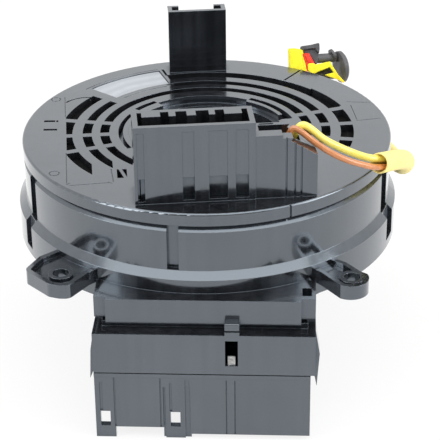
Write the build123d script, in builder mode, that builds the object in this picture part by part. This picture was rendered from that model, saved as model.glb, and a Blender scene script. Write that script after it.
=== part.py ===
from build123d import *
import os
from math import cos, sin, radians, tan, pi

# Steering clock spring with a steering-angle sensor.
# Origin: centre of the shaft bore, level with the rotor's top face.  +Z runs up the steering
# shaft towards the wheel, -Y is the side of the vehicle connectors.  Lengths are millimetres.

os.makedirs("parts", exist_ok=True)

# ---------------------------------------------------------------- driving dimensions
rest_turn = 7.6            # turn of the rotor at rest, degrees from straight ahead
disc_r = 52.5              # rotor disc
disc_t = 2.2
rim_h = 3.5
disc_hole_r = 22.3
bore_r = 21.5              # steering shaft bore
hub_r = 23.6
bearing_gap = 0.05         # radial running clearance of every bearing
wall_t = 1.9
wall_r = 52.3              # upper wall of the stator
skirt_r = 54.3             # lower wall of the stator
lip_z = -4.1
lip_chamfer = 1.4
flare_top_z = -16.8
flare_foot_z = -18.8
floor_z = -26.4            # chamber floor, upper face
base_z = -28.0             # stator underside
sheet_t = 0.4              # slip sheets over and under the ribbon cable

shroud_x0, shroud_x1 = -22.4, 9.3     # switch connector shroud on the rotor
shroud_y0, shroud_y1 = -44.9, -34.0
shroud_h = 22.0
shroud_wall = 1.4
lead_box_x1 = 25.6                    # squib lead outlet beside the shroud
lead_box_y0, lead_box_y1 = -44.6, -34.3
lead_box_h = 17.1
horn_x0, horn_x1 = -7.9, 9.6          # horn connector tower
horn_y0, horn_y1 = 42.8, 48.0
horn_h = 19.8
horn_wall = 1.3
pin_w = 0.64                          # connector pins are square
pin_hole_w = 0.74

ear_hole_r = 2.2                      # mounting ears
ear_hole_x = (-36.6, 40.8)
ear_hole_y = -49.9
ear_top_z = -19.3
ear_t = 4.0
ear_rim = 1.3
ear_dish = 1.2

block_x0, block_x1 = -24.2, 27.5      # outlet block under the stator wall
block_y0, block_y1 = -57.9, -46.3
block_top_z = -22.6
block_base_z = -29.8
pillar_x0, pillar_x1 = -27.4, 31.3
pillar_y0 = -56.3
pillar_base_z = -28.8

case_x0, case_x1 = -27.7, 31.4        # sensor case and the connector block under it
case_y0, case_y1 = -61.0, -45.4
case_top_z = -31.4
case_wall = 1.6
seam_z = -43.4
pan_r = 44.0
pan_floor_z = -36.2
board_t = 1.6
plate_top_z = -46.4                   # plate that carries the vehicle-side pins
plate_base_z = -48.0

gear_module = 1.0
ring_teeth = 56
ring_gear_top_z = -28.5
gear_t = 2.6

rotor_plane = Plane.XY.rotated((0, 0, rest_turn))


def polar(radius, angle):
    """Point at a radius and an angle in degrees."""
    return Vector(radius * cos(radians(angle)), radius * sin(radians(angle)))


def ring_sector(r_in, r_out, start, end, mode=Mode.ADD):
    """Piece of a ring between two radii and two angles, in the open sketch."""
    with BuildLine() as border:
        CenterArc((0, 0), r_out, start, end - start)
        CenterArc((0, 0), r_in, start, end - start)
        Line(polar(r_in, start), polar(r_out, start))
        Line(polar(r_in, end), polar(r_out, end))
    make_face(border.edges(), mode=mode)


def outline(points, mode=Mode.ADD):
    """Straight-sided closed outline, in the open sketch."""
    with BuildLine() as border:
        Polyline(*points, close=True)
    make_face(border.edges(), mode=mode)


def rectangle(x0, x1, y0, y1, mode=Mode.ADD):
    """Rectangle given by its four sides, in the open sketch."""
    with Locations(((x0 + x1) / 2, (y0 + y1) / 2)):
        Rectangle(x1 - x0, y1 - y0, mode=mode)


def save(builder, label):
    """Names a finished piece and writes its STEP file."""
    builder.part.label = label
    export_step(builder.part, f"parts/{label}.step")


# ---------------------------------------------------------------- rotor cover
# One moulding: grille disc with a skirted rim, the switch connector shroud with the lead box
# beside it, and the horn connector tower at the back.

slot_rings = ((38.3, 42.0), (32.8, 35.4), (27.8, 30.4))
spoke_angles = (-15, 0, 15, 165, 180, 195)
spoke_w = 2.1
flat_slot_x = -40.0        # straight outer edge of the left slots
slot_ends = ((-33.2, -30), (-27.5, -26))   # straight lower ends of the outer two rings
bore_notch = (11, 122)     # stretch where the hole in the disc is wider than the hub
label_sector = (35.6, 46.1, 103.8, 134.2)
label_t = 0.15

rib_spans = ((-19.8, -14.9), (-12.7, -10.9), (-8.0, -5.6), (-2.2, -0.6), (1.8, 6.4))
rib_depth = 2.8
foot_slots = ((-21.6, -19.7), (-9.8, -6.7), (-2.9, 2.0), (4.1, 7.5))
foot_slot_h = 6.4
switch_pin_x = [-19.25 + 2.54 * column for column in range(11)]
switch_pin_y = (-42.0, -39.46)
lead_slot_y = (-41.1, -35.8)
lead_brow_x1 = 16.4        # raised front edge of the lead box
lead_brow_z = 18.0
lead_step_x = 15.6         # the leads rise from a step in the slot of the lead box
lead_step_z = 12.8
horn_pin_x = (-1.7, 0.85, 3.4)
horn_pin_y = 45.3

with BuildPart() as rotor_cover:
    with BuildSketch(Plane.XZ):
        outline((
            (disc_hole_r, 0), (disc_r, 0), (disc_r, -rim_h), (51.0, -rim_h), (51.0, -disc_t),
            (49.9, -disc_t), (49.9, -5.8), (48.8, -5.8), (48.8, -disc_t), (24.9, -disc_t),
            (24.9, -4.2), (hub_r, -4.2), (hub_r, -disc_t), (disc_hole_r, -disc_t),
        ))
    revolve(axis=Axis.Z)
    fillet(rotor_cover.edges().filter_by(GeomType.CIRCLE).group_by(Axis.Z)[-1].sort_by(
        SortBy.RADIUS)[-1], 0.6)

    with BuildSketch(rotor_plane):
        for (r_in, r_out), (x, y) in zip(slot_rings[:2], slot_ends):
            ring_sector(r_in, r_out, 139, 222)
            rectangle(x, x + 9, y, -12, mode=Mode.SUBTRACT)
            ring_sector(r_in, r_out, -22, 102.3)
        ring_sector(*slot_rings[2], 138, 225)
        ring_sector(*slot_rings[2], -22, 102.3)
        ring_sector(slot_rings[0][1], 42.6, 17, 37.5)
        for angle in spoke_angles:
            with Locations(Location(polar(35, angle), (0, 0, angle))):
                Rectangle(18, spoke_w, mode=Mode.SUBTRACT)
        ring_sector(*slot_rings[2], 97, 139)
        rectangle(-43, flat_slot_x, -13, 13, mode=Mode.SUBTRACT)
        ring_sector(24.2, 25.9, 122.5, 140)
        ring_sector(23.9, 25.2, 148.5, 204)
        # slot with a thin sprung finger between it and the hole, free at its right end
        ring_sector(24.2, 25.9, 11.5, 54.5)
        ring_sector(disc_hole_r - 1, 25.9, 12, 20)
        ring_sector(disc_hole_r - 1, 23.0, 19, 57)
        ring_sector(disc_hole_r - 1, 24.2, 55, bore_notch[1])
        outline(((-26.5, -23.1), (-26.0, -23.1), (-24.7, -28.5), (-26.5, -28.5)))
        outline(((-25.1, -23.1), (-23.8, -23.1), (-23.8, -28.2)))
        for x, y, length in ((-44.7, 10.7, 3.2), (-42.5, 10.45, 0.6), (-44.5, 4.8, 3.9)):
            with Locations(Location((x, y), (0, 0, -5))):
                Rectangle(length, 1.2)
    extrude(amount=-disc_t, mode=Mode.SUBTRACT)

    # recess for the label, slits at the slot ends and the seam lines of the disc
    with BuildSketch(rotor_plane):
        ring_sector(*label_sector)
    extrude(amount=-0.35, mode=Mode.SUBTRACT)
    with BuildSketch(rotor_plane):
        ring_sector(41.6, 46.6, 101.9, 102.8)
        ring_sector(34.3, 35.1, 102.2, 105.5)
        with Locations(Location(polar(47, 51.4), (0, 0, 51.4))):
            Rectangle(9.4, 0.6)
        with BuildLine() as bow:
            ThreePointArc((-39.6, 23.3), (-37.0, 25.6), (-32.3, 26.2))
            ThreePointArc((-32.3, 26.7), (-37.1, 26.2), (-40.0, 23.7))
            Line((-39.6, 23.3), (-40.0, 23.7))
            Line((-32.3, 26.2), (-32.3, 26.7))
        make_face(bow.edges())
    extrude(amount=-0.9, mode=Mode.SUBTRACT)
    with BuildSketch(rotor_plane):
        ring_sector(46.9, 47.2, 104, 136)
        ring_sector(33.6, 33.9, 106, 132)
        for x, y in ((-42.8, 26.1), (-43.5, -23.8)):
            with Locations((x, y)):
                Circle(1.5)
                Circle(1.2, mode=Mode.SUBTRACT)
        seams = (
            ((-40.15, 13.2), (-40.15, 27.4)), ((-40.15, -11.4), (-40.15, -30.2)),
            ((-40.15, -30.2), (-39.4, -31.0)), ((-39.4, -31.0), (-29.0, -31.6)),
            ((-29.0, -31.6), (-28.0, -30.6)), ((-28.0, -30.6), (-27.6, -22.8)),
            ((42.8, 13.9), (49.4, 15.0)), ((43.7, 12.4), (43.5, 2.4)), ((43.5, 2.4), (50.6, 1.5)),
        )
        for start, end in seams:
            run = Vector(end) - Vector(start)
            middle = (Vector(end) + Vector(start)) / 2
            with Locations(Location(middle, (0, 0, Vector(1, 0).get_signed_angle(run)))):
                Rectangle(run.length + 0.2, 0.25)
    extrude(amount=-0.2, mode=Mode.SUBTRACT)
    with BuildSketch(rotor_plane):
        ring_sector(disc_r - 0.6, disc_r + 1, -70.2, -69.6)
    extrude(amount=-rim_h, mode=Mode.SUBTRACT)

    with BuildSketch(rotor_plane):
        rectangle(shroud_x0, shroud_x1, shroud_y0, shroud_y1)
    extrude(amount=shroud_h)
    with BuildSketch(rotor_plane.offset(0.8)):
        rectangle(
            shroud_x0 + shroud_wall, shroud_x1 - shroud_wall,
            shroud_y0 + shroud_wall, shroud_y1 - shroud_wall,
        )
        for x0, x1 in rib_spans:
            y1 = shroud_y1 - shroud_wall
            rectangle(x0, x1, y1 - rib_depth, y1 + 1, mode=Mode.SUBTRACT)
    extrude(amount=shroud_h, mode=Mode.SUBTRACT)
    with BuildSketch(rotor_plane.offset(0.8)):
        for x0, x1 in foot_slots:
            rectangle(x0, x1, shroud_y0 - 1, shroud_y0 + shroud_wall + 0.1)
    extrude(amount=foot_slot_h, mode=Mode.SUBTRACT)
    with BuildSketch(rotor_plane.offset(0.8)):
        for x0, x1 in foot_slots:
            rectangle(x0, x1, shroud_y0 - 1, shroud_y0 + 0.2)
    extrude(amount=shroud_h - 2.5, mode=Mode.SUBTRACT)

    with BuildSketch(rotor_plane):
        rectangle(shroud_x1 - 0.5, lead_box_x1, lead_box_y0, lead_box_y1)
    extrude(amount=lead_box_h)
    with BuildSketch(rotor_plane.offset(2.0)):
        rectangle(shroud_x1 + 1.4, lead_step_x - 1.4, *lead_slot_y)
    extrude(amount=lead_box_h, mode=Mode.SUBTRACT)
    with BuildSketch(rotor_plane.offset(lead_step_z)):
        rectangle(lead_step_x - 2, 21.4, *lead_slot_y)
    extrude(amount=lead_box_h, mode=Mode.SUBTRACT)
    ramp = Location((18.6, 0, 16.2), (0, 31, 0))
    with BuildSketch(Plane(rotor_plane.location * ramp)):
        rectangle(0, 14, lead_box_y0 - 1, lead_box_y1 + 1)
    extrude(amount=6, mode=Mode.SUBTRACT)
    with BuildSketch(rotor_plane.offset(lead_box_h - 1)):
        rectangle(shroud_x1 - 0.5, lead_brow_x1, lead_box_y0, lead_slot_y[0])
    extrude(amount=lead_brow_z - lead_box_h + 1)
    brow_slot = Location((13.0, lead_slot_y[1] + 0.75, lead_box_h - 0.8))
    with BuildSketch(Plane(rotor_plane.location * brow_slot)):
        SlotCenterToCenter(3.2, 0.8)
    extrude(amount=2, mode=Mode.SUBTRACT)
    with BuildSketch(rotor_plane.offset(-disc_t)):
        rectangle(lead_step_x, lead_box_x1 - 1.4, lead_box_y0 + 1.6, lead_box_y1 - 1.4)
    extrude(amount=disc_t + 10.2, mode=Mode.SUBTRACT)
    with BuildSketch(rotor_plane):
        for x in (17.4, 19.7, 21.4):
            rectangle(x - 0.25, x + 0.25, lead_box_y0 - 1, lead_box_y0 + 0.5)
    extrude(amount=lead_box_h, mode=Mode.SUBTRACT)

    with BuildSketch(rotor_plane):
        rectangle(horn_x0, horn_x1, horn_y0, horn_y1)
    extrude(amount=horn_h)
    with BuildSketch(rotor_plane.offset(1.2)):
        rectangle(horn_x0 + horn_wall, horn_x1 - horn_wall, horn_y0 + horn_wall, horn_y1 - 1.0)
        rectangle(horn_x0 + 3.4, horn_x1 - 3.4, horn_y0 + horn_wall, horn_y1 + 1)
    extrude(amount=horn_h, mode=Mode.SUBTRACT)

    with BuildSketch(rotor_plane.offset(2)):
        with Locations([(x, y) for x in switch_pin_x for y in switch_pin_y]):
            Rectangle(pin_hole_w, pin_hole_w)
        with Locations([(x, horn_pin_y) for x in horn_pin_x]):
            Rectangle(pin_hole_w, pin_hole_w)
    extrude(amount=-8, mode=Mode.SUBTRACT)
save(rotor_cover, "rotor_cover")

with BuildPart() as rating_label:
    with BuildSketch(rotor_plane.offset(-0.35)):
        ring_sector(label_sector[0] + 0.25, label_sector[1] - 0.25,
                    label_sector[2] + 0.35, label_sector[3] - 0.35)
    extrude(amount=label_t)
save(rating_label, "rating_label")

# ---------------------------------------------------------------- rotor inner pieces

with BuildPart() as rotor_hub:
    with BuildSketch(Plane.XZ):
        outline((
            (bore_r, 0), (disc_hole_r, 0), (disc_hole_r, -disc_t), (hub_r, -disc_t),
            (hub_r, -24.6), (24.8, -24.9), (24.8, -26.0), (hub_r, -26.0), (hub_r, -31.1),
            (24.1, -31.4), (24.1, -31.8), (bore_r, -32.4),
        ))
    revolve(axis=Axis.Z)
    with BuildSketch(rotor_plane):
        ring_sector(bore_r - 1, hub_r + 1, *bore_notch)
    extrude(amount=-disc_t, mode=Mode.SUBTRACT)
save(rotor_hub, "rotor_hub")

with BuildPart() as upper_slip_sheet:
    with BuildSketch(rotor_plane.offset(-disc_t)):
        Circle(48.6)
        Circle(25.2, mode=Mode.SUBTRACT)
        rectangle(shroud_x0 - 0.5, lead_box_x1 + 0.5, -50, -33.8, mode=Mode.SUBTRACT)
        rectangle(horn_x0, horn_x1, 42.4, 48.6, mode=Mode.SUBTRACT)
    extrude(amount=-sheet_t)
save(upper_slip_sheet, "upper_slip_sheet")

with BuildPart() as inner_ribbon_block:
    with BuildSketch(rotor_plane.offset(-6.5)):
        ring_sector(hub_r, 26.6, -102, -78)
    extrude(amount=-17.5)
save(inner_ribbon_block, "inner_ribbon_block")

with BuildPart() as switch_connector_pins:
    with BuildSketch(rotor_plane.offset(-disc_t)):
        with Locations([(x, y) for x in switch_pin_x for y in switch_pin_y]):
            Rectangle(pin_w, pin_w)
    extrude(amount=disc_t + 14)
save(switch_connector_pins, "switch_connector_pins")

with BuildPart() as horn_connector_pins:
    with BuildSketch(rotor_plane.offset(-disc_t)):
        with Locations([(x, horn_pin_y) for x in horn_pin_x]):
            Rectangle(pin_w, pin_w)
    extrude(amount=disc_t + 13)
save(horn_connector_pins, "horn_connector_pins")

# ---------------------------------------------------------------- sensor gears
# The ring gear on the hub turns two pinions of different tooth counts; each carries a magnet
# over the sensor board, so the pair of angles gives the steering angle over several turns.


def gear_outline(teeth, phase):
    """Straight-flanked tooth ring, in the open sketch; phase turns it, in degrees."""
    pitch_r = gear_module * teeth / 2
    step = 360 / teeth
    points = []
    for tooth in range(teeth):
        middle = phase + tooth * step
        for radius, width in ((pitch_r - 1.1, -0.33), (pitch_r + 0.85, -0.14),
                              (pitch_r + 0.85, 0.14), (pitch_r - 1.1, 0.33)):
            points.append(polar(radius * gear_module, middle + width * step))
    outline(points)


with BuildPart() as ring_gear:
    with BuildSketch(rotor_plane.offset(ring_gear_top_z)):
        gear_outline(ring_teeth, 0)
        Circle(hub_r, mode=Mode.SUBTRACT)
    extrude(amount=-gear_t)
save(ring_gear, "ring_gear")

ring_pitch_r = gear_module * ring_teeth / 2
pinion_teeth = (14, 15)
pinion_bearing = (253.0, 287.0)
pinion_shaft_r = 1.5
magnet_r = 3.0
magnet_t = 2.0
pinion_seats = [
    polar(ring_pitch_r + gear_module * teeth / 2 + 0.1, bearing)
    for teeth, bearing in zip(pinion_teeth, pinion_bearing)
]

for name, teeth, bearing, seat in zip("ab", pinion_teeth, pinion_bearing, pinion_seats):
    # a gap of the pinion faces a tooth of the ring gear along the line of centres
    ring_step = 360 / ring_teeth
    pinion_step = 360 / teeth
    ring_lag = (bearing - rest_turn) % ring_step / ring_step
    phase = bearing + 180 + (ring_lag + 0.5) * pinion_step
    with BuildPart() as pinion:
        with BuildSketch(Plane.XY.offset(ring_gear_top_z)):
            gear_outline(teeth, phase)
        extrude(amount=-gear_t)
        with BuildSketch(Plane.XY.offset(ring_gear_top_z)):
            Circle(pinion_shaft_r)
        extrude(amount=1.8)
        with BuildSketch(Plane.XY.offset(ring_gear_top_z - gear_t)):
            Circle(magnet_r)
        extrude(amount=magnet_t, mode=Mode.SUBTRACT)
    pinion.part.locate(Location(seat))
    save(pinion, f"sensor_pinion_{name}")
    with BuildPart() as magnet:
        with BuildSketch(Plane.XY.offset(ring_gear_top_z - gear_t)):
            Circle(magnet_r)
        extrude(amount=magnet_t)
    magnet.part.locate(Location(seat))
    save(magnet, f"sensor_magnet_{name}")

# ---------------------------------------------------------------- stator housing
# One moulding: drum with a stepped wall, floor, two dished mounting ears and the outlet block.

lead_windows = ((-9, 11, -44.0, -42.0),)
tab_x0, tab_x1 = 7.4, 11.3           # tab in the middle of the block's front
wall_slots = ((203.0, 208.0, -25.8), (261.2, 264.6, flare_top_z), (341.0, 347.5, -25.8))
slot_depth = 1.5

with BuildPart() as stator_housing:
    with BuildSketch(Plane.XZ):
        outline((
            (wall_r - lip_chamfer, lip_z), (wall_r, lip_z - lip_chamfer), (wall_r, flare_top_z),
            (skirt_r, flare_foot_z), (skirt_r, base_z),
            (hub_r + bearing_gap, base_z), (hub_r + bearing_gap, floor_z),
            (skirt_r - wall_t, floor_z), (skirt_r - wall_t, -20.6), (wall_r - wall_t, -18.6),
            (wall_r - wall_t, lip_z),
        ))
    revolve(axis=Axis.Z)

    with BuildSketch(Plane.XY.offset(ear_top_z)) as left_ear:
        outline((
            (-37.0, -36.0), (-38.75, -36.7), (-43.5, -41.1), (-46.5, -48.5), (-39.2, -55.8),
            (-36.4, -56.7), (-33.65, -56.7), (-29.3, -49.4), (-26.0, -46.0),
        ))
        fillet(left_ear.vertices().filter_by_position(Axis.Y, -57, -48), 2.2)
    with BuildSketch(Plane.XY.offset(ear_top_z)) as right_ear:
        with BuildLine() as tab:
            end = CenterArc((40.3, -50.2), 5.0, -122, 145)
            Polyline(end @ 1, (43.0, -46.8), (39.5, -42.2), (35.0, -39.0), (29.0, -44.0),
                     (32.6, -47.6), end @ 0)
        make_face(tab.edges())
    with BuildSketch(Plane.XY.offset(ear_top_z)):
        add(left_ear.sketch)
        add(right_ear.sketch)
        Circle(skirt_r - 1, mode=Mode.SUBTRACT)
    extrude(amount=-ear_t)
    with BuildSketch(Plane.XY.offset(ear_top_z)):
        add(left_ear.sketch)
        add(right_ear.sketch)
        offset(amount=-ear_rim, mode=Mode.REPLACE)
        Circle(skirt_r, mode=Mode.SUBTRACT)
        with Locations([(x, ear_hole_y) for x in ear_hole_x]):
            Circle(ear_hole_r + 1.2, mode=Mode.SUBTRACT)
    extrude(amount=-ear_dish, mode=Mode.SUBTRACT)
    with Locations([(x, ear_hole_y, ear_top_z) for x in ear_hole_x]):
        Hole(ear_hole_r, depth=ear_t)

    with BuildSketch(Plane.XY.offset(block_top_z)):
        rectangle(block_x0, block_x1, block_y0, block_y1)
        Circle(skirt_r - 1, mode=Mode.SUBTRACT)
    extrude(amount=block_base_z - block_top_z)
    with BuildSketch(Plane.XY.offset(block_top_z)):
        rectangle(pillar_x0, pillar_x1, pillar_y0, block_y1)
        Circle(skirt_r - 1, mode=Mode.SUBTRACT)
    extrude(amount=pillar_base_z - block_top_z)
    with BuildSketch(Plane.XY.offset(base_z)):
        rectangle(block_x0, block_x1, block_y0 + 2, block_y1)
    extrude(amount=block_base_z - base_z)
    with BuildSketch(Plane.XY.offset(block_top_z)):
        rectangle(27.7, 30.2, -54.6, -50.5)
    extrude(amount=-3, mode=Mode.SUBTRACT)
    with BuildSketch(Plane.XY.offset(block_base_z)):
        rectangle(tab_x0, tab_x1, block_y0, block_y0 + 1.1)
    extrude(amount=-1.5)

    for start, end, foot_z in wall_slots:
        with BuildSketch(Plane.XY.offset(lip_z)):
            ring_sector(wall_r - slot_depth, skirt_r + 1, start, end)
        extrude(amount=flare_top_z - 0.4 * (foot_z < flare_top_z) - lip_z, mode=Mode.SUBTRACT)
        if foot_z < flare_top_z:
            with BuildSketch(Plane.XY.offset(flare_top_z)):
                ring_sector(skirt_r - slot_depth, skirt_r + 1, start, end)
            extrude(amount=foot_z - flare_top_z, mode=Mode.SUBTRACT)

    with BuildSketch(Plane.XY.offset(base_z)):
        with Locations(pinion_seats):
            Circle(pinion_shaft_r + bearing_gap)
    extrude(amount=floor_z - base_z, mode=Mode.SUBTRACT)
    with BuildSketch(Plane.XY.offset(block_base_z)):
        for x0, x1, y0, y1 in lead_windows:
            rectangle(x0, x1, y0, y1)
    extrude(amount=floor_z - block_base_z, mode=Mode.SUBTRACT)
save(stator_housing, "stator_housing")

# ---------------------------------------------------------------- ribbon cable chamber

with BuildPart() as lower_slip_sheet:
    with BuildSketch(Plane.XY.offset(floor_z)):
        Circle(skirt_r - wall_t - 0.3)
        Circle(26.0, mode=Mode.SUBTRACT)
    extrude(amount=sheet_t)
save(lower_slip_sheet, "lower_slip_sheet")

# The flat cable lies in a spiral: half turns about two centres that stand half a pitch apart.
ribbon_t = 0.4
ribbon_r = 27.8            # inner end
ribbon_step = 1.75         # growth of the radius per half turn
ribbon_half_turns = 11
ribbon_base_z = floor_z + sheet_t
ribbon_h = 17.5


def spiral(radius):
    """Chain of half turns that starts at +X with the given radius, in the open line."""
    for half in range(ribbon_half_turns):
        centre = (ribbon_step * (half % 2), 0)
        CenterArc(centre, radius + half * ribbon_step, 180 * (half % 2), 180)


ribbon_end_x = ribbon_r + ribbon_step * (ribbon_half_turns - 1)
ribbon_end_r = ribbon_end_x + ribbon_t / 2
with BuildPart() as ribbon_cable:
    with BuildSketch(Plane.XY.offset(ribbon_base_z)):
        with BuildLine() as border:
            spiral(ribbon_r - ribbon_t / 2)
            spiral(ribbon_r + ribbon_t / 2)
            Line((ribbon_r - ribbon_t / 2, 0), (ribbon_r + ribbon_t / 2, 0))
            Line((-ribbon_end_x - ribbon_t / 2, 0), (-ribbon_end_x + ribbon_t / 2, 0))
        make_face(border.edges())
    extrude(amount=ribbon_h)
save(ribbon_cable, "ribbon_cable")

with BuildPart() as outer_ribbon_block:
    with BuildSketch(Plane.XY.offset(ribbon_base_z)):
        ring_sector(ribbon_end_r, wall_r - wall_t, 176, 192)
    extrude(amount=ribbon_h + 0.5)
save(outer_ribbon_block, "outer_ribbon_block")

# ---------------------------------------------------------------- sensor case
# Pan under the stator floor with the connector case in front of it, one moulding.

pan_front_x = (-21.0, 25.0)
case_window = (7.5, 10.9, -40.8, -33.0)

with BuildPart() as sensor_case:
    with BuildSketch(Plane.XY.offset(base_z)) as pan_plan:
        Circle(pan_r)
        rectangle(*pan_front_x, case_y1, -20)
    extrude(amount=pan_floor_z - base_z)
    with BuildSketch(Plane.XY.offset(case_top_z)):
        rectangle(case_x0, case_x1, case_y0, case_y1 + 1)
    extrude(amount=seam_z - case_top_z)
    with BuildSketch(Plane.XY.offset(case_top_z)):
        rectangle(pillar_x0 + 2, pillar_x1 - 2, block_y0 + 1.2, block_y1 - 0.2)
    extrude(amount=block_base_z - case_top_z)
    with BuildSketch(Plane.XY.offset(case_top_z)):
        rectangle(tab_x0, tab_x1, case_y0, case_y0 + 1.4)
    extrude(amount=1.0)
    with BuildSketch(Plane.XY.offset(base_z)):
        add(pan_plan.sketch)
        offset(amount=-case_wall, mode=Mode.REPLACE)
    extrude(amount=pan_floor_z + case_wall - base_z, mode=Mode.SUBTRACT)
    with BuildSketch(Plane.XY.offset(seam_z)):
        rectangle(case_x0 + case_wall, case_x1 - case_wall, case_y0 + case_wall, case_y1 - 0.6)
    extrude(amount=case_top_z - case_wall - seam_z, mode=Mode.SUBTRACT)
    with BuildSketch(Plane.XY.offset(pan_floor_z + case_wall)):
        rectangle(pan_front_x[0] + 3, pan_front_x[1] - 3, case_y1 - 1, case_y1 + 3)
    extrude(amount=1.8, mode=Mode.SUBTRACT)
    with BuildSketch(Plane.XY.offset(base_z)):
        Circle(hub_r + 1.4)
    extrude(amount=pan_floor_z - base_z - 1, mode=Mode.SUBTRACT)
    with BuildSketch(Plane.XZ.offset(-case_y0 - 5)):
        outline(((case_x0, -31.8), (case_x0 - 1.2, -39.5), (case_x0 - 1.6, -48.4),
                 (case_x0 - 0.3, -45.2), (case_x0, -44.0)))
        outline(((case_x1, -32.2), (case_x1 + 1.2, -39.6), (case_x1 + 0.5, -49.8),
                 (case_x1 - 0.3, -45.6), (case_x1, -44.0)))
    extrude(amount=-5)
    with BuildSketch(Plane.XZ.offset(-case_y0 + 1)):
        rectangle(*case_window)
    extrude(amount=-1 - case_wall - 0.1, mode=Mode.SUBTRACT)
save(sensor_case, "sensor_case")

with BuildPart() as case_clip:
    with BuildSketch(Plane.YZ.offset(8.2)):
        outline(((case_y0 + 0.4, -40.8), (case_y0 + 1.3, -40.8), (case_y0 + 1.3, -38.2),
                 (case_y0 + 0.9, -38.2), (case_y0 + 0.4, -39.6)))
    extrude(amount=2.0)
save(case_clip, "case_clip")

# ---------------------------------------------------------------- connector block
# Three sockets that open downward, with two latch straps between and beside them.

socket_x = ((-22.3, -9.3), (-2.0, 8.9), (8.9, 30.2))
socket_base_z = (-61.0, -63.0, -63.0)
socket_wall = 1.3
strap_x = ((-27.7, -22.3), (-8.7, -3.4))
strap_base_z = -64.3
strap_t = 2.4
strap_window = (-60.7, -56.0)
face_y = case_y0 + 0.45               # front of the sockets, behind the seam's lip
seam_lip = 1.3
face_grooves = (                      # x of each upright line, top and foot
    (-26.4, -25.6, -46.6, -55.8), (-22.6, -22.1, -45.2, -60.9), (-10.2, -9.8, -45.2, -60.9),
    (-7.6, -6.9, -46.6, -55.8), (-3.4, -2.2, -45.6, -62.9), (7.6, 7.9, -45.6, -62.9),
    (9.9, 10.2, -45.6, -62.9),
)

pin_columns = (
    [-20.0 + 2.5 * column for column in range(4)],
    [0.6 + 2.5 * column for column in range(3)],
    [11.5 + 2.5 * column for column in range(7)],
)
pin_rows = (-55.0, -51.0)
pin_foot_z = -55.5

with BuildPart() as connector_block:
    with BuildSketch(Plane.XY.offset(seam_z)):
        rectangle(case_x0, socket_x[2][1], case_y0, case_y1)
    extrude(amount=plate_base_z - seam_z)
    for (x0, x1), base in zip(socket_x, socket_base_z):
        with BuildSketch(Plane.XY.offset(plate_base_z)):
            rectangle(x0, x1, case_y0, case_y1)
        extrude(amount=base - plate_base_z)
    with BuildSketch(Plane.XY.offset(plate_base_z)):
        for x0, x1 in strap_x:
            rectangle(x0, x1, case_y0, case_y0 + strap_t)
        rectangle(-9.3, socket_x[1][0] + 0.2, case_y0 + 1.0, case_y0 + strap_t)
    extrude(amount=strap_base_z - plate_base_z)
    for x0, x1 in socket_x:
        with BuildSketch(Plane.XY.offset(plate_base_z)):
            rectangle(x0 + socket_wall, x1 - socket_wall, case_y0 + socket_wall,
                      case_y1 - socket_wall)
        extrude(amount=-20, mode=Mode.SUBTRACT)
    with BuildSketch(Plane.XY.offset(seam_z)):
        rectangle(case_x0 + case_wall, socket_x[2][1] - case_wall, case_y0 + case_wall,
                  case_y1 - case_wall)
    extrude(amount=plate_top_z - seam_z, mode=Mode.SUBTRACT)
    with BuildSketch(Plane.XZ.offset(-case_y0 + 1)):
        for x0, x1 in strap_x:
            rectangle((x0 + x1) / 2 - 1.3, (x0 + x1) / 2 + 1.3, *strap_window)
    extrude(amount=-6, mode=Mode.SUBTRACT)
    with BuildSketch(Plane.XY.offset(plate_top_z)):
        for columns in pin_columns:
            with Locations([(x, y) for x in columns for y in pin_rows]):
                Rectangle(pin_hole_w, pin_hole_w)
    extrude(amount=plate_base_z - plate_top_z, mode=Mode.SUBTRACT)
    with BuildSketch(Plane.XZ.offset(-case_y0 + 1)):
        rectangle(case_x0 - 1, case_x1, seam_z - seam_lip - 25, seam_z - seam_lip)
        rectangle(case_x0 - 1, case_x1, seam_z - 0.3, seam_z + 1)
    extrude(amount=-1 - (face_y - case_y0), mode=Mode.SUBTRACT)
    with BuildSketch(Plane.XZ.offset(-face_y + 1)):
        for x0, x1, top, foot in face_grooves:
            rectangle(x0, x1, foot, top)
    extrude(amount=-1.35, mode=Mode.SUBTRACT)
save(connector_block, "connector_block")

board_top_z = pan_floor_z + case_wall + board_t
for name, columns in zip(("left", "middle", "right"), pin_columns):
    with BuildPart() as pins:
        with BuildSketch(Plane.XY.offset(board_top_z - board_t)):
            with Locations([(x, y) for x in columns for y in pin_rows]):
                Rectangle(pin_w, pin_w)
        extrude(amount=pin_foot_z - board_top_z + board_t)
    save(pins, f"{name}_socket_pins")

with BuildPart() as sensor_board:
    with BuildSketch(Plane.XY.offset(board_top_z - board_t)):
        Circle(pan_r - case_wall - 0.4)
        rectangle(-21, 20, 0, 45, mode=Mode.SUBTRACT)
        rectangle(pan_front_x[0] + 3.2, pan_front_x[1] - 3.2, -50, -30)
        rectangle(case_x0 + 5, case_x1 - 2.5, case_y0 + 2.5, case_y1 - 3)
        Circle(hub_r + 3, mode=Mode.SUBTRACT)
    extrude(amount=board_t)
save(sensor_board, "sensor_board")

with BuildPart() as sensor_chips:
    with BuildSketch(Plane.XY.offset(board_top_z)):
        with Locations(pinion_seats):
            Rectangle(4.9, 3.9)
    extrude(amount=1.0)
save(sensor_chips, "sensor_chips")

# ---------------------------------------------------------------- squib lead
# Two wires rise from the lead box and run into a sleeve, which goes round outside the rim to
# the squib plug behind it.  Routes are in the rotor's own axes, straight ahead.

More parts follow.
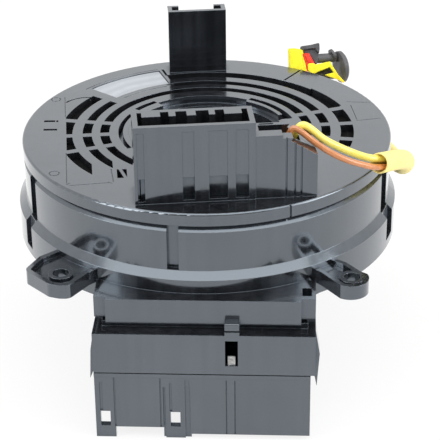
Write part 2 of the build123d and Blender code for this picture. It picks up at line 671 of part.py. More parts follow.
yellow_wire_r = 1.05
brown_wire_r = 0.85
sleeve_r = 2.8
yellow_route = (
    (18.8, -36.9, 12.8), (18.8, -36.9, 15.0), (20.6, -36.9, 16.9), (23.2, -36.9, 17.1),
    (27.0, -36.8, 14.1), (32.3, -35.4, 10.4), (37.4, -35.2, 7.5), (41.6, -35.9, 5.7),
    (45.0, -33.6, 4.6),
)
brown_route = (
    (16.6, -38.9, 12.8), (16.6, -38.9, 14.8), (18.2, -38.9, 16.5), (20.5, -38.9, 16.6),
    (24.2, -39.7, 14.3), (29.6, -41.4, 11.0), (34.8, -41.2, 8.2), (39.2, -39.3, 5.6),
    (42.6, -37.6, 3.9), (45.5, -34.9, 2.8),
)
sleeve_route = (
    (43.4, -36.0, 4.4), (47.9, -30.6, 2.4), (52.2, -23.2, -0.9), (55.3, -13.8, -5.2),
    (56.6, -3.8, -10.4), (56.3, 7.0, -13.8), (53.2, 19.8, -14.0), (47.9, 31.0, -12.8),
    (44.6, 38.9, -10.4), (40.76, 44.6, -7.6),
)


def corner_radii(points):
    """Largest even bend at each inner point: 0.45 of the shorter run over tan(half the turn)."""
    radii = []
    for before, corner, after in zip(points, points[1:], points[2:]):
        run_in = corner - before
        run_out = after - corner
        turn = run_in.get_angle(run_out)
        radii.append(0.45 * min(run_in.length, run_out.length) / tan(radians(turn / 2)))
    return radii


def lead_tube(label, route, radius):
    """Round tube along straight runs joined by tangent arcs; writes it and prints its sizes."""
    points = [rotor_plane.from_local_coords(Vector(*point)) for point in route]
    radii = corner_radii(points)
    with BuildPart() as tube:
        with BuildLine() as path:
            FilletPolyline(*points, radius=radii)
        centre_line = path.wire()
        with BuildSketch(Plane(origin=centre_line @ 0, z_dir=centre_line % 0)):
            Circle(radius)
        sweep()
    save(tube, label)
    expected = pi * radius ** 2 * centre_line.length
    print(label, "length", round(centre_line.length, 1), "radii", [round(r, 1) for r in radii],
          "volume ratio", round(tube.part.volume / expected, 4))


lead_tube("squib_wire_yellow", yellow_route, yellow_wire_r)
lead_tube("squib_wire_brown", brown_route, brown_wire_r)
lead_tube("squib_sleeve", sleeve_route, sleeve_r)

# ---------------------------------------------------------------- squib plug
# Drawn in its own upright plane behind the rim: x runs along the plug, y is up.

plug_angle = rest_turn - 30
plug_r = 59.0
plug_along = polar(1, plug_angle)
plug_inward = polar(1, plug_angle - 90)
plug_plane = Plane(origin=plug_inward * -plug_r, x_dir=plug_along, z_dir=plug_inward)
plug_half_t = 4.4
head_angle = 27.0
head_r = 5.3

with BuildPart() as squib_plug_body:
    with BuildSketch(plug_plane):
        outline(((4.4, 3.8), (10.2, 6.2), (10.8, 5.1), (10.8, 3.2), (11.2, 2.9), (11.4, -0.3),
                 (9.4, -1.0), (6.5, 2.7), (4.6, 2.9)))
    extrude(amount=plug_half_t - 0.6, both=True)
    neck_plane = Plane(
        origin=plug_plane.from_local_coords(Vector(10, 1.5, 0)),
        z_dir=plug_along * cos(radians(8)) + Vector(0, 0, sin(radians(8))),
    )
    with BuildSketch(neck_plane):
        Circle(1.8)
    extrude(amount=7.5)
    with BuildSketch(neck_plane.offset(3.9)):
        Circle(2.4)
    extrude(amount=1.8)
    head_plane = Plane(
        origin=plug_plane.from_local_coords(Vector(16.8, 0.3, 0)),
        z_dir=plug_along * cos(radians(head_angle)) + Vector(0, 0, sin(radians(head_angle))),
    )
    with BuildSketch(head_plane):
        Circle(head_r)
    extrude(amount=1.5)
    with BuildSketch(head_plane.offset(1.5)):
        Circle(head_r)
    with BuildSketch(head_plane.offset(2.8)):
        Circle(head_r - 2.2)
    loft()
    with BuildSketch(plug_plane):
        with Locations((17.4, 2.7)):
            Circle(0.45)
    extrude(amount=8, both=True, mode=Mode.SUBTRACT)
save(squib_plug_body, "squib_plug_body")

with BuildPart() as squib_plug_housing:
    with BuildSketch(plug_plane):
        outline(((0.3, 3.5), (4.4, 3.8), (4.6, 2.9), (6.5, 2.7), (5.2, 1.6), (7.0, -3.7),
                 (0.3, -3.7)))
    extrude(amount=plug_half_t, both=True)
save(squib_plug_housing, "squib_plug_housing")

with BuildPart() as squib_plug_lock:
    with BuildSketch(plug_plane):
        outline(((6.5, 2.7), (5.2, 1.6), (7.0, -3.7), (7.6, -3.7), (8.6, -0.95), (9.4, -1.0)))
    extrude(amount=plug_half_t - 0.8, both=True)
save(squib_plug_lock, "squib_plug_lock")

with BuildPart() as squib_plug_clip:
    with BuildSketch(plug_plane.offset(3.4)):
        outline(((7.6, -3.7), (8.6, -0.95), (9.4, -1.0), (14.2, 0.9), (19.9, -5.0), (17.0, -5.0),
                 (12.7, -4.4), (15.7, -2.6), (13.9, -1.3), (9.8, -4.0)))
    extrude(amount=1.6)
    with BuildSketch(plug_plane.offset(-1)):
        rectangle(9.6, 12.6, -6.4, -3.9)
    extrude(amount=6)
    sleeve_points = [rotor_plane.from_local_coords(Vector(*point)) for point in sleeve_route]
    sleeve_end = sleeve_points[-1]
    with BuildSketch(Plane(origin=sleeve_end, z_dir=sleeve_end - sleeve_points[-2])):
        Circle(sleeve_r + 0.5)
    extrude(amount=4)
save(squib_plug_clip, "squib_plug_clip")
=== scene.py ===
from math import cos, pi, radians, sin

import bmesh
import bpy
from mathutils import Matrix, Vector


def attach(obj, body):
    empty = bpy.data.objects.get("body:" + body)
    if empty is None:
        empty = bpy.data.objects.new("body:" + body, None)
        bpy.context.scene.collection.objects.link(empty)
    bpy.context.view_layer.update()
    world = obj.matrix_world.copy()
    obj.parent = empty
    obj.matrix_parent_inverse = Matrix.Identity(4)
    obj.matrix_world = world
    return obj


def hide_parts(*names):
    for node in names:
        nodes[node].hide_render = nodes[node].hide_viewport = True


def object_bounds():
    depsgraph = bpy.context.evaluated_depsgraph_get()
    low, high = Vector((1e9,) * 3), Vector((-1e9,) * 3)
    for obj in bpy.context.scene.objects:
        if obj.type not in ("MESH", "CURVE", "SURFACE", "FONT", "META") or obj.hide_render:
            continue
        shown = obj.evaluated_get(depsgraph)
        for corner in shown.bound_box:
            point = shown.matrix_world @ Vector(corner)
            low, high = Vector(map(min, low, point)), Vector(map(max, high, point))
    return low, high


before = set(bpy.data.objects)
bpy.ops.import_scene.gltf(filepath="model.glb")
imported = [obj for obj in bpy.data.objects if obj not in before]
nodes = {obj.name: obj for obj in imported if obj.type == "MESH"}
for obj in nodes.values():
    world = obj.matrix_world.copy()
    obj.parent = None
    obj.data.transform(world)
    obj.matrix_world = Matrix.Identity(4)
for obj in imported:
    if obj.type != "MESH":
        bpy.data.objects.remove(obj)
cad_low, cad_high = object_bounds()
scene = bpy.context.scene


# ---------------------------------------------------------------- studio
# A pale sweep under the unit, a soft box over it and one at each side, as suits small black
# mouldings, and the camera about half a metre in front of the sockets.

MM = 0.001
CAMERA_AZIMUTH = 2.8
CAMERA_ELEVATION = 27.82
CAMERA_ROLL = -0.595
CAMERA_PLACE = Vector((3.554, -441.876, 203.901)) * MM
CAMERA_LENS = 139.09
turn = Matrix.Rotation(radians(CAMERA_AZIMUTH), 4, "Z")
tilt = Matrix.Rotation(radians(90 - CAMERA_ELEVATION), 4, "X")
roll = Matrix.Rotation(radians(CAMERA_ROLL), 4, "Z")
camera = bpy.data.objects.new("camera", bpy.data.cameras.new("camera"))
camera.data.lens = CAMERA_LENS
camera.data.sensor_width = 36
camera.data.clip_start = 0.01
camera.data.clip_end = 20
camera.matrix_world = Matrix.Translation(turn @ CAMERA_PLACE) @ turn @ tilt @ roll
scene.collection.objects.link(camera)
scene.camera = camera
scene.view_settings.view_transform = "Standard"


def linear(colour):
    """An sRGB hex colour as linear red, green, blue and alpha."""
    parts = [int(colour[i:i + 2], 16) / 255 for i in (1, 3, 5)]
    return [v / 12.92 if v <= 0.04045 else ((v + 0.055) / 1.055) ** 2.4 for v in parts] + [1]


def add(tree, kind, links=(), **settings):
    """Adds a node. Settings name its properties or its inputs; links give (input, socket)."""
    node = tree.nodes.new(kind)
    for name, value in settings.items():
        socket = node.inputs.get(name.replace("_", " ")) if not hasattr(node, name) else None
        if socket is not None:
            socket.default_value = value
        else:
            setattr(node, name, value)
    for name, source in links:
        tree.links.new(source, node.inputs[name])
    return node


def new_material(name):
    """An empty material, its tree and its output node."""
    material = bpy.data.materials.new(name)
    material.use_nodes = True
    material.node_tree.nodes.clear()
    return material, material.node_tree, material.node_tree.nodes.new("ShaderNodeOutputMaterial")


def mesh_object(name, verts, faces, material=None):
    """A mesh object at the origin from points in metres."""
    mesh = bpy.data.meshes.new(name)
    mesh.from_pydata([tuple(v) for v in verts], [], faces)
    piece = bpy.data.objects.new(name, mesh)
    scene.collection.objects.link(piece)
    if material:
        mesh.materials.append(material)
    return piece


# The floor glows white where it is looked at or mirrored, and still takes the shadow. From
# below the camera looks through it.
FLOOR_Z = cad_low.z - 0.2 * MM
FLOOR_HALF = 3.0
FLOOR_GLOW_SHARE = 0.82
floor = mesh_object("floor", [
    (-FLOOR_HALF, -FLOOR_HALF, FLOOR_Z), (FLOOR_HALF, -FLOOR_HALF, FLOOR_Z),
    (FLOOR_HALF, FLOOR_HALF, FLOOR_Z), (-FLOOR_HALF, FLOOR_HALF, FLOOR_Z)], [(0, 1, 2, 3)])
white, tree, output = new_material("white_sweep")
path = add(tree, "ShaderNodeLightPath")
seen = add(tree, "ShaderNodeMath", [(0, path.outputs["Is Camera Ray"]),
                                    (1, path.outputs["Is Glossy Ray"])], operation="MAXIMUM")
share = add(tree, "ShaderNodeMath", [(0, seen.outputs[0])], operation="MULTIPLY")
share.inputs[1].default_value = FLOOR_GLOW_SHARE
paper = add(tree, "ShaderNodeBsdfDiffuse", Color=linear("#f2f2f2"))
glow = add(tree, "ShaderNodeEmission", Color=(1, 1, 1, 1), Strength=1.02)
mixed = add(tree, "ShaderNodeMixShader", [(0, share.outputs[0]), (1, paper.outputs[0]),
                                          (2, glow.outputs[0])])
side = add(tree, "ShaderNodeNewGeometry")
from_below = add(tree, "ShaderNodeMath", [(0, path.outputs["Is Camera Ray"]),
                                          (1, side.outputs["Backfacing"])],
                 operation="MULTIPLY")
clear = add(tree, "ShaderNodeBsdfTransparent")
sweep = add(tree, "ShaderNodeMixShader", [(0, from_below.outputs[0]), (1, mixed.outputs[0]),
                                          (2, clear.outputs[0])])
tree.links.new(sweep.outputs[0], output.inputs["Surface"])
floor.data.materials.append(white)

# The room is white to the camera and in reflections, and lights the unit more gently.
ROOM_LIGHT = 0.45
world = bpy.data.worlds.new("studio")
scene.world = world
world.use_nodes = True
tree = world.node_tree
tree.nodes.clear()
path = add(tree, "ShaderNodeLightPath")
seen = add(tree, "ShaderNodeMath", [(0, path.outputs["Is Camera Ray"]),
                                    (1, path.outputs["Is Glossy Ray"])], operation="MAXIMUM")
strength = add(tree, "ShaderNodeMapRange", [("Value", seen.outputs[0])])
strength.inputs["To Min"].default_value = ROOM_LIGHT
strength.inputs["To Max"].default_value = 1.0
backdrop = add(tree, "ShaderNodeBackground", [("Strength", strength.outputs[0])],
               Color=(1, 1, 1, 1))
output = tree.nodes.new("ShaderNodeOutputWorld")
tree.links.new(backdrop.outputs[0], output.inputs["Surface"])

for name, place, size, power in (
    ("soft_box_top", (0.0, -0.15, 1.15), (2.2, 1.8), 20),
    ("soft_box_left", (-1.1, -0.55, 0.35), (0.5, 0.9), 6),
    ("soft_box_right", (1.15, -0.35, 0.45), (0.6, 0.9), 8),
):
    lamp = bpy.data.objects.new(name, bpy.data.lights.new(name, "AREA"))
    lamp.data.shape = "RECTANGLE"
    lamp.data.size, lamp.data.size_y = size
    lamp.data.energy = power
    lamp.location = place
    lamp.rotation_euler = (-Vector(place)).to_track_quat("-Z", "Y").to_euler()
    scene.collection.objects.link(lamp)

# The room behind the camera is dark and shows in reflections alone.
ROOM_HALF, ROOM_Y, ROOM_LOW, ROOM_HIGH = 1.6, -1.9, 0.42, 2.0
dark_room = mesh_object("dark_room", [
    (-ROOM_HALF, ROOM_Y, ROOM_LOW), (ROOM_HALF, ROOM_Y, ROOM_LOW),
    (ROOM_HALF, ROOM_Y, ROOM_HIGH), (-ROOM_HALF, ROOM_Y, ROOM_HIGH)], [(0, 1, 2, 3)])
felt, tree, output = new_material("black_felt")
cloth = add(tree, "ShaderNodeBsdfDiffuse", Color=linear("#101010"))
tree.links.new(cloth.outputs[0], output.inputs["Surface"])
dark_room.data.materials.append(felt)
dark_room.visible_camera = False
dark_room.visible_diffuse = False
dark_room.visible_transmission = False
dark_room.visible_shadow = False


# ---------------------------------------------------------------- black mouldings
# Drum, cover, hub, sensor case and sockets: black PBT, injection moulded in a polished tool.
# It gives a deep grey that mirrors pale surroundings softly, with faint flow marks, dust and
# painted shade in its crevices.


def moulded_plastic(name, colour, roughness, grain_mm=0.35, edge_mm=0.25, ior=1.5, coat=0.0,
                    specular="#ffffff", haze=1.3, crevice_shade=False):
    """Moulded plastic: tool grain, sink waves, drag marks, a thin haze, specks, soft edges, painted
    shade in crevices.
    """
    material, tree, output = new_material(name)
    where = add(tree, "ShaderNodeTexCoord")
    cloud = add(tree, "ShaderNodeTexNoise", [("Vector", where.outputs["Object"])],
                Scale=1 / (18 * MM), Detail=3, Roughness=0.5)
    pull = add(tree, "ShaderNodeMapping", [("Vector", where.outputs["Object"])])
    pull.inputs["Scale"].default_value = (1, 1, 0.02)
    drag = add(tree, "ShaderNodeTexNoise", [("Vector", pull.outputs[0])],
               Scale=1 / (2.2 * MM), Detail=4, Roughness=0.6)
    swept = add(tree, "ShaderNodeMapping", [("Vector", where.outputs["Object"])])
    swept.inputs["Rotation"].default_value = (0.4, 0.3, 0.9)
    swept.inputs["Scale"].default_value = (1, 0.03, 1)
    rubbed = add(tree, "ShaderNodeTexNoise", [("Vector", swept.outputs[0])],
                 Scale=1 / (0.5 * MM), Detail=1)
    scratch = add(tree, "ShaderNodeMapRange", [("Value", rubbed.outputs["Fac"])])
    scratch.inputs["From Min"].default_value = 0.70
    scratch.inputs["From Max"].default_value = 0.78
    dots = add(tree, "ShaderNodeTexVoronoi", [("Vector", where.outputs["Object"])],
               Scale=1 / (2.6 * MM))
    speck = add(tree, "ShaderNodeMapRange", [("Value", dots.outputs["Distance"])])
    speck.inputs["From Min"].default_value = 0.075
    speck.inputs["From Max"].default_value = 0.05
    mixed_marks = add(tree, "ShaderNodeMath", [(0, drag.outputs["Fac"]),
                                               (1, cloud.outputs["Fac"])], operation="MULTIPLY")
    marks = add(tree, "ShaderNodeMath", [(0, scratch.outputs[0]), (1, speck.outputs[0])],
                operation="MAXIMUM")
    tone = add(tree, "ShaderNodeMapRange", [("Value", mixed_marks.outputs[0])])
    tone.inputs["From Min"].default_value = 0.14
    tone.inputs["From Max"].default_value = 0.36
    gloss = add(tree, "ShaderNodeMapRange", [("Value", tone.outputs[0])])
    gloss.inputs["To Min"].default_value = roughness * 0.75
    gloss.inputs["To Max"].default_value = roughness * 1.4
    grain = add(tree, "ShaderNodeTexNoise", [("Vector", where.outputs["Object"])],
                Scale=1 / (grain_mm * MM), Detail=2)
    edge = add(tree, "ShaderNodeBevel", Radius=edge_mm * MM, samples=6)
    sink = add(tree, "ShaderNodeTexNoise", [("Vector", where.outputs["Object"])],
               Scale=1 / (7 * MM), Detail=1)
    waves = add(tree, "ShaderNodeBump", [("Height", sink.outputs["Fac"]),
                                         ("Normal", edge.outputs[0])],
                Strength=0.5, Distance=0.1 * MM)
    ripples = add(tree, "ShaderNodeBump", [("Height", drag.outputs["Fac"]),
                                           ("Normal", waves.outputs[0])],
                  Strength=0.35, Distance=0.05 * MM)
    bump = add(tree, "ShaderNodeBump", [("Height", grain.outputs["Fac"]),
                                        ("Normal", ripples.outputs[0])],
               Strength=0.3, Distance=0.02 * MM)
    body = linear(colour)
    hazed = [min(1, v * haze) for v in body[:3]] + [1]
    marked = [min(1, v * haze * 1.5 + 0.01) for v in body[:3]] + [1]
    tint = add(tree, "ShaderNodeMix", [("Factor", tone.outputs[0])], data_type="RGBA")
    tint.inputs[6].default_value = body
    tint.inputs[7].default_value = hazed
    worn = add(tree, "ShaderNodeMix", [("Factor", marks.outputs[0]), (6, tint.outputs[2])],
               data_type="RGBA")
    worn.inputs[7].default_value = marked
    shader = add(tree, "ShaderNodeBsdfPrincipled", [
        ("Base Color", worn.outputs[2]), ("Roughness", gloss.outputs[0]),
        ("Normal", bump.outputs[0])], IOR=ior, Coat_Weight=coat, Coat_Roughness=0.07,
        Specular_Tint=linear(specular))
    # Painted shade: an occlusion mask takes the coat away in creases and between parts, so these
    # read darker.
    if crevice_shade:
        corner = add(tree, "ShaderNodeAmbientOcclusion", Distance=2.2 * MM, samples=6)
        shaded_coat = add(tree, "ShaderNodeMapRange", [("Value", corner.outputs["AO"])])
        shaded_coat.inputs["From Min"].default_value = 0.35
        shaded_coat.inputs["From Max"].default_value = 0.85
        shaded_coat.inputs["To Max"].default_value = coat
        tree.links.new(shaded_coat.outputs[0], shader.inputs["Coat Weight"])
    tree.links.new(shader.outputs[0], output.inputs["Surface"])
    return material


def dress(material, *names):
    """Gives carried-over nodes their finish."""
    for name in names:
        nodes[name].data.materials.clear()
        nodes[name].data.materials.append(material)


black_pbt = moulded_plastic("black_pbt_moulded", "#161719", 0.16, ior=2.05, coat=1.0,
                            specular="#ddeeff", haze=2.6, crevice_shade=True)
dress(black_pbt, "stator_housing", "rotor_cover", "rotor_hub", "sensor_case", "connector_block")


# ---------------------------------------------------------------- latch nose
# A black PBT nose moulded under the middle of the outlet block, which snaps over the lip of
# the sensor case. Its outline is drawn from the side and runs 4 mm across.


def moulding(name, solids, axes, material, body, node=None, bevel=0.2):
    """A moulding of slabs (outline, back, front) and turned discs, with rounded edges."""
    sides = 40
    shape = bmesh.new()
    for solid in solids:
        if solid[0] == "slab":
            outline, back, front = solid[1:]
            face = shape.faces.new([shape.verts.new((x, y, back)) for x, y in outline])
            made = bmesh.ops.extrude_face_region(shape, geom=[face])
            moved = [v for v in made["geom"] if isinstance(v, bmesh.types.BMVert)]
            bmesh.ops.translate(shape, verts=moved, vec=(0, 0, front - back))
        else:
            foot, rise, away, profile = solid[1:]
            axis = Vector((cos(radians(rise)) * cos(radians(away)),
                           sin(radians(rise)) * cos(radians(away)), -sin(radians(away))))
            side = axis.orthogonal().normalized()
            other = axis.cross(side)
            rings = []
            for along, radius in profile:
                centre = Vector(foot) + axis * along
                rings.append([shape.verts.new(centre + (side * cos(2 * pi * k / sides)
                                                        + other * sin(2 * pi * k / sides)) * radius)
                              for k in range(sides)])
            for low, high in zip(rings, rings[1:]):
                for k in range(sides):
                    after = (k + 1) % sides
                    shape.faces.new((low[k], low[after], high[after], high[k]))
            shape.faces.new(rings[0][::-1])
            shape.faces.new(rings[-1])
    bmesh.ops.recalc_face_normals(shape, faces=shape.faces)
    bmesh.ops.transform(shape, matrix=axes @ Matrix.Scale(MM, 4), verts=shape.verts)
    mesh = bpy.data.meshes.new(name)
    shape.to_mesh(mesh)
    shape.free()
    mesh.materials.append(material)
    piece = bpy.data.objects.new(name, mesh)
    scene.collection.objects.link(piece)
    rounding = piece.modifiers.new("rounding", "BEVEL")
    rounding.width = bevel * MM
    rounding.segments = 3
    rounding.angle_limit = radians(35)
    mesh.shade_smooth()
    rounding.harden_normals = True
    if node:
        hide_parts(node)
    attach(piece, body)
    return piece


side_on = Matrix(((0, 0, 1, 0), (1, 0, 0, 0), (0, 1, 0, 0), (0, 0, 0, 1)))
moulding("latch_nose", (
    ("slab", ((-57.6, -27.9), (-60.3, -28.3), (-60.7, -30.1), (-60.3, -30.5), (-57.6, -30.6)),
     7.35, 11.25),
    ("slab", ((-57.6, -30.6), (-60.8, -30.9), (-60.8, -31.5), (-57.6, -31.5)), 7.5, 11.1),
), side_on, black_pbt, "stator")


# ---------------------------------------------------------------- shade plate behind the foot slots
# A black PBT plate inside the switch connector, put behind the foot slots as painted shade: it
# darkens the slots and hides the pins. It turns with the rotor, which rests a little off straight
# ahead.

REST_TURN = 7.6
rotor_turn = Matrix.Rotation(radians(REST_TURN), 4, "Z")
moulding("slot_shade_plate", (
    ("slab", ((-20.9, -43.3), (7.8, -43.3), (7.8, -42.6), (-20.9, -42.6)), 0.85, 8.6),
    ("slab", ((-20.9, -43.3), (7.8, -43.3), (7.8, -41.0), (-20.9, -41.0)), 7.4, 8.4),
), rotor_turn, black_pbt, "rotor")


# ---------------------------------------------------------------- ribbon chamber
# Low-friction film over and under the ribbon, which is flat copper strips laminated between
# polyester films, and the moulded blocks that hold its ends. The film is near-black, matt and dull
# as painted shade, so that the slots of the cover above it read dark.

slot_shade_film = moulded_plastic("ptfe_film_painted_shade", "#0c0c0d", 0.8, ior=1.2)
dress(slot_shade_film, "upper_slip_sheet", "lower_slip_sheet")
laminate = moulded_plastic("polyester_laminate", "#d8d2bd", 0.25)
dress(laminate, "ribbon_cable")
block_plastic = moulded_plastic("black_pbt_rough", "#242527", 0.5)
dress(block_plastic, "inner_ribbon_block", "outer_ribbon_block", "sensor_chips")


# ---------------------------------------------------------------- sensor
# An acetal ring gear on the hub drives two acetal pinions. Each carries a bonded ferrite
# magnet, which the sensors on the green glass-epoxy board read.

acetal = moulded_plastic("natural_acetal", "#dcd9cf", 0.4)
dress(acetal, "ring_gear", "sensor_pinion_a", "sensor_pinion_b")
ferrite = moulded_plastic("bonded_ferrite", "#3a3a3d", 0.55)
dress(ferrite, "sensor_magnet_a", "sensor_magnet_b")
epoxy = moulded_plastic("green_solder_mask", "#1d5a36", 0.35)
dress(epoxy, "sensor_board")


# ---------------------------------------------------------------- contact pins
# Square pins stamped from brass strip and tin plated, which dulls them to a warm grey.

tinned, tree, output = new_material("tinned_brass")
shader = add(tree, "ShaderNodeBsdfPrincipled", Base_Color=linear("#b9b09a"), Metallic=1.0,
             Roughness=0.32)
tree.links.new(shader.outputs[0], output.inputs["Surface"])
dress(tinned, "switch_connector_pins", "horn_connector_pins", "left_socket_pins",
      "middle_socket_pins", "right_socket_pins")


# ---------------------------------------------------------------- case clip
# A small spring clip of tinned steel that shows in the sensor case's window, its face
# crumpled by the press.

crumpled, tree, output = new_material("crumpled_tin")
where = add(tree, "ShaderNodeTexCoord")
dents = add(tree, "ShaderNodeTexNoise", [("Vector", where.outputs["Object"])],
            Scale=1 / (0.9 * MM), Detail=3)
bump = add(tree, "ShaderNodeBump", [("Height", dents.outputs["Fac"])], Strength=1.0,
           Distance=0.5 * MM)
shade = add(tree, "ShaderNodeMix", [("Factor", dents.outputs["Fac"])], data_type="RGBA")
shade.inputs[6].default_value = linear("#6a6a6a")
shade.inputs[7].default_value = linear("#dcdcda")
shader = add(tree, "ShaderNodeBsdfPrincipled", [("Base Color", shade.outputs[2]),
                                                ("Normal", bump.outputs[0])],
             Metallic=1.0, Roughness=0.35)
tree.links.new(shader.outputs[0], output.inputs["Surface"])
dress(crumpled, "case_clip")


# ---------------------------------------------------------------- rating label
# A blank label of matt silvery polyester film, stuck on the disc beside the tower, with
# faint ridges that follow the disc's arcs.

film, tree, output = new_material("matt_polyester_film")
where = add(tree, "ShaderNodeTexCoord")
arcs = add(tree, "ShaderNodeTexWave", [("Vector", where.outputs["Object"])], wave_type="RINGS",
           rings_direction="Z", Scale=1 / (13 * MM), Distortion=2.5, Detail=3)
patches = add(tree, "ShaderNodeTexNoise", [("Vector", where.outputs["Object"])],
              Scale=1 / (3 * MM), Detail=4)
both = add(tree, "ShaderNodeMath", [(0, arcs.outputs["Fac"]), (1, patches.outputs["Fac"])],
           operation="MULTIPLY")
shade = add(tree, "ShaderNodeMix", [("Factor", both.outputs[0])], data_type="RGBA")
shade.inputs[6].default_value = linear("#a3a8ae")
shade.inputs[7].default_value = linear("#b9bec4")
bump = add(tree, "ShaderNodeBump", [("Height", both.outputs[0])], Strength=0.5,
           Distance=0.08 * MM)
shader = add(tree, "ShaderNodeBsdfPrincipled", [("Base Color", shade.outputs[2]),
                                                ("Normal", bump.outputs[0])], Roughness=0.4)
tree.links.new(shader.outputs[0], output.inputs["Surface"])
dress(film, "rating_label")


# ---------------------------------------------------------------- squib lead
# Two PVC-insulated wires, yellow and brown, rise from the lead box and run into a soft
# yellow sleeve that goes round outside the rim to the squib plug.

YELLOW_WIRE = (
    (20.2, -36.9, 12.8), (20.2, -36.9, 14.6), (22.2, -36.9, 17.6), (24.8, -37.0, 16.0),
    (28.0, -36.9, 12.7), (32.8, -35.8, 9.5), (37.4, -35.5, 7.1), (41.6, -35.9, 5.7),
    (45.0, -33.6, 4.6),
)
BROWN_WIRE = (
    (18.4, -38.9, 12.8), (18.4, -38.9, 14.8), (19.6, -38.9, 17.7), (22.0, -39.1, 16.2),
    (25.2, -39.8, 13.4), (29.9, -41.2, 10.4), (34.8, -41.0, 7.8), (39.2, -39.3, 5.6),
    (42.6, -37.6, 3.9), (45.5, -34.9, 2.8),
)
SLEEVE = (
    (43.4, -36.0, 4.4), (47.9, -30.6, 2.4), (52.2, -23.2, -0.9), (55.2, -14.2, -6.0),
    (56.4, -4.8, -12.2), (56.2, 6.5, -15.6), (53.4, 19.8, -15.6), (48.0, 31.0, -13.4),
    (44.6, 38.9, -10.4), (40.76, 44.6, -7.6),
)


def rotor_point(point):
    """A point of the rotor's own axes, given in millimetres, in the part's frame."""
    return rotor_turn @ (Vector(point) * MM)


def lead(name, route, radius_mm, material, node, caps=True):
    """A round lead along a smooth spline through the rotor's own route."""
    curve = bpy.data.curves.new(name, "CURVE")
    curve.dimensions = "3D"
    spline = curve.splines.new("NURBS")
    spline.points.add(len(route) - 1)
    for point, place in zip(spline.points, route):
        point.co = (*rotor_point(place), 1)
    spline.order_u = 3
    spline.use_endpoint_u = True
    spline.resolution_u = 12
    curve.bevel_depth = radius_mm * MM
    curve.bevel_resolution = 6
    curve.use_fill_caps = caps
    curve.materials.append(material)
    piece = bpy.data.objects.new(name, curve)
    scene.collection.objects.link(piece)
    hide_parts(node)
    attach(piece, "rotor")
    return piece


yellow_pvc = moulded_plastic("yellow_pvc", "#eee060", 0.2, edge_mm=0.05, ior=1.6, coat=0.6,
                             haze=1.1)
brown_pvc = moulded_plastic("brown_pvc", "#b2703f", 0.2, edge_mm=0.05, ior=1.6, coat=0.6,
                            haze=1.4)
sleeve_pvc = moulded_plastic("soft_yellow_sleeve", "#f3e08c", 0.5, edge_mm=0.05, haze=1.1)
yellow = lead("squib_lead_yellow", YELLOW_WIRE, 1.05, yellow_pvc, "squib_wire_yellow")
brown = lead("squib_lead_brown", BROWN_WIRE, 0.85, brown_pvc, "squib_wire_brown")
sleeve = lead("squib_lead_sleeve", SLEEVE, 2.8, sleeve_pvc, "squib_sleeve", caps=False)

# The sleeve's open mouth: its bore, then its rounded lip, then its outside.
mouth_place = rotor_point(SLEEVE[0])
mouth_turn = (rotor_turn @ (Vector(SLEEVE[1]) - Vector(SLEEVE[0]))).to_track_quat("Z", "Y")
mouth_axes = Matrix.Translation(mouth_place) @ mouth_turn.to_matrix().to_4x4()
mouth_profile = ((2.45, 6.0), (2.35, 0.5), (2.4, 0.05), (2.55, -0.05), (2.75, 0.0),
                 (2.83, 0.15), (2.83, 1.2), (2.8, 1.6))
ROUND = 48
ring = [mouth_axes @ (Vector((r * cos(2 * pi * k / ROUND), r * sin(2 * pi * k / ROUND), z)) * MM)
        for r, z in mouth_profile for k in range(ROUND)]
faces = [(low + k, low + (k + 1) % ROUND, low + ROUND + (k + 1) % ROUND, low + ROUND + k)
         for low in range(0, ROUND * (len(mouth_profile) - 1), ROUND) for k in range(ROUND)]
sleeve_mouth = mesh_object("sleeve_mouth", ring, faces, sleeve_pvc)
sleeve_mouth.data.shade_smooth()
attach(sleeve_mouth, "rotor")


# ---------------------------------------------------------------- squib plug
# The plug leans back behind the rim: a yellow housing, a red lock, a grey body with a neck
# and a round cap, and a yellow clip that holds the sleeve's collar.

yellow_pbt = moulded_plastic("yellow_pbt", "#f3dc24", 0.35, edge_mm=0.15)
red_pbt = moulded_plastic("red_pbt", "#dd3a22", 0.35, edge_mm=0.15)
grey_nylon = moulded_plastic("grey_nylon", "#4b4b4e", 0.45, edge_mm=0.15)
# Plug axes: x runs along the plug, y up its leaning face, z out of the face.
PLUG_TURN = 2.8
PLUG_LEAN = 62.2
PLUG_PLACE = Vector((27, 51, 0.5)) * MM
plug_axes = (Matrix.Rotation(radians(PLUG_TURN), 4, "Z") @ Matrix.Translation(PLUG_PLACE)
             @ Matrix.Rotation(radians(PLUG_LEAN), 4, "X"))

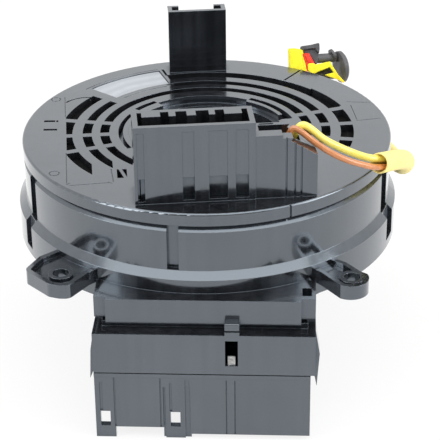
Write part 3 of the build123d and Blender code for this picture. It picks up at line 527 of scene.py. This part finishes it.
plug_housing = moulding("plug_housing", (
    ("slab", ((-1.65, 3.0), (0.1, 3.1), (2.1, 2.75), (2.9, 2.35), (3.05, 1.35), (2.7, 1.0),
              (3.5, -1.35), (4.0, -3.9), (3.6, -5.6), (-1.4, -5.6)), -2.6, 2.2),
    ("slab", ((-1.2, 2.4), (1.6, 2.2), (2.5, -1.2), (2.9, -3.8), (-1.2, -3.8)), 2.0, 2.6),
), plug_axes, yellow_pbt, "rotor", "squib_plug_housing")
plug_lock = moulding("plug_lock", (
    ("slab", ((2.9, 1.5), (4.8, 1.5), (6.65, -2.0), (4.45, -1.9), (4.3, -4.6), (3.7, -4.6),
              (3.85, -3.2), (3.5, -1.35), (2.75, 1.0)), -2.3, 2.0),
    ("slab", ((3.5, 0.9), (4.6, 0.9), (5.7, -1.3), (4.3, -1.3)), 1.9, 2.25),
), plug_axes, red_pbt, "rotor", "squib_plug_lock")
plug_body = moulding("plug_body", (
    ("slab", ((2.15, 3.05), (2.15, 3.55), (2.6, 3.7), (5.3, 4.05), (7.8, 4.65), (8.05, 4.3),
              (8.1, 2.7), (7.9, 1.45), (7.2, 2.2), (6.8, 3.0), (5.0, 2.9), (2.7, 2.45)),
     -1.9, 2.3),
    ("slab", ((2.8, 2.6), (6.9, 3.0), (7.5, 1.5), (7.8, 1.4), (7.45, -1.5), (6.8, -1.85),
              (5.2, 0.85), (4.3, 1.5), (3.0, 1.7)), -1.7, 1.3),
    ("slab", ((5.4, -2.1), (11.6, -1.9), (13.2, -4.4), (12.6, -6.4), (5.4, -5.4)), -2.2, -0.6),
    ("turned", (7.2, -0.05, -0.2), 5, 18, ((0, 1.45), (7.0, 1.45))),
    ("turned", (12.1, 0.75, -1.6), 28, 12, ((0, 2.2), (0.85, 2.2))),
    ("turned", (14.1, -2.6, -1.9), 11, 18, ((0, 4.3), (0.2, 4.95), (1.3, 4.95), (1.9, 4.2),
                                          (2.3, 2.0))),
), plug_axes, grey_nylon, "rotor", "squib_plug_body", bevel=0.12)
plug_clip = moulding("plug_clip", (
    ("slab", ((4.35, -2.0), (4.75, -1.65), (6.0, -1.65), (6.8, -2.05), (11.35, -1.15),
              (12.1, -2.65), (13.95, -5.5), (15.85, -7.55), (15.5, -7.8), (14.55, -7.25),
              (13.6, -6.75), (9.7, -5.4), (9.9, -5.2), (11.45, -4.85), (12.45, -4.6),
              (11.15, -2.95), (7.7, -4.2), (6.5, -4.9), (5.2, -4.75), (4.4, -3.9)), 0.4, 2.2),
    ("slab", ((3.0, -4.9), (5.5, -4.7), (10.4, -6.3), (10.4, -8.6), (3.0, -7.0)), -2.4, 1.0),
), plug_axes, yellow_pbt, "rotor", "squib_plug_clip")
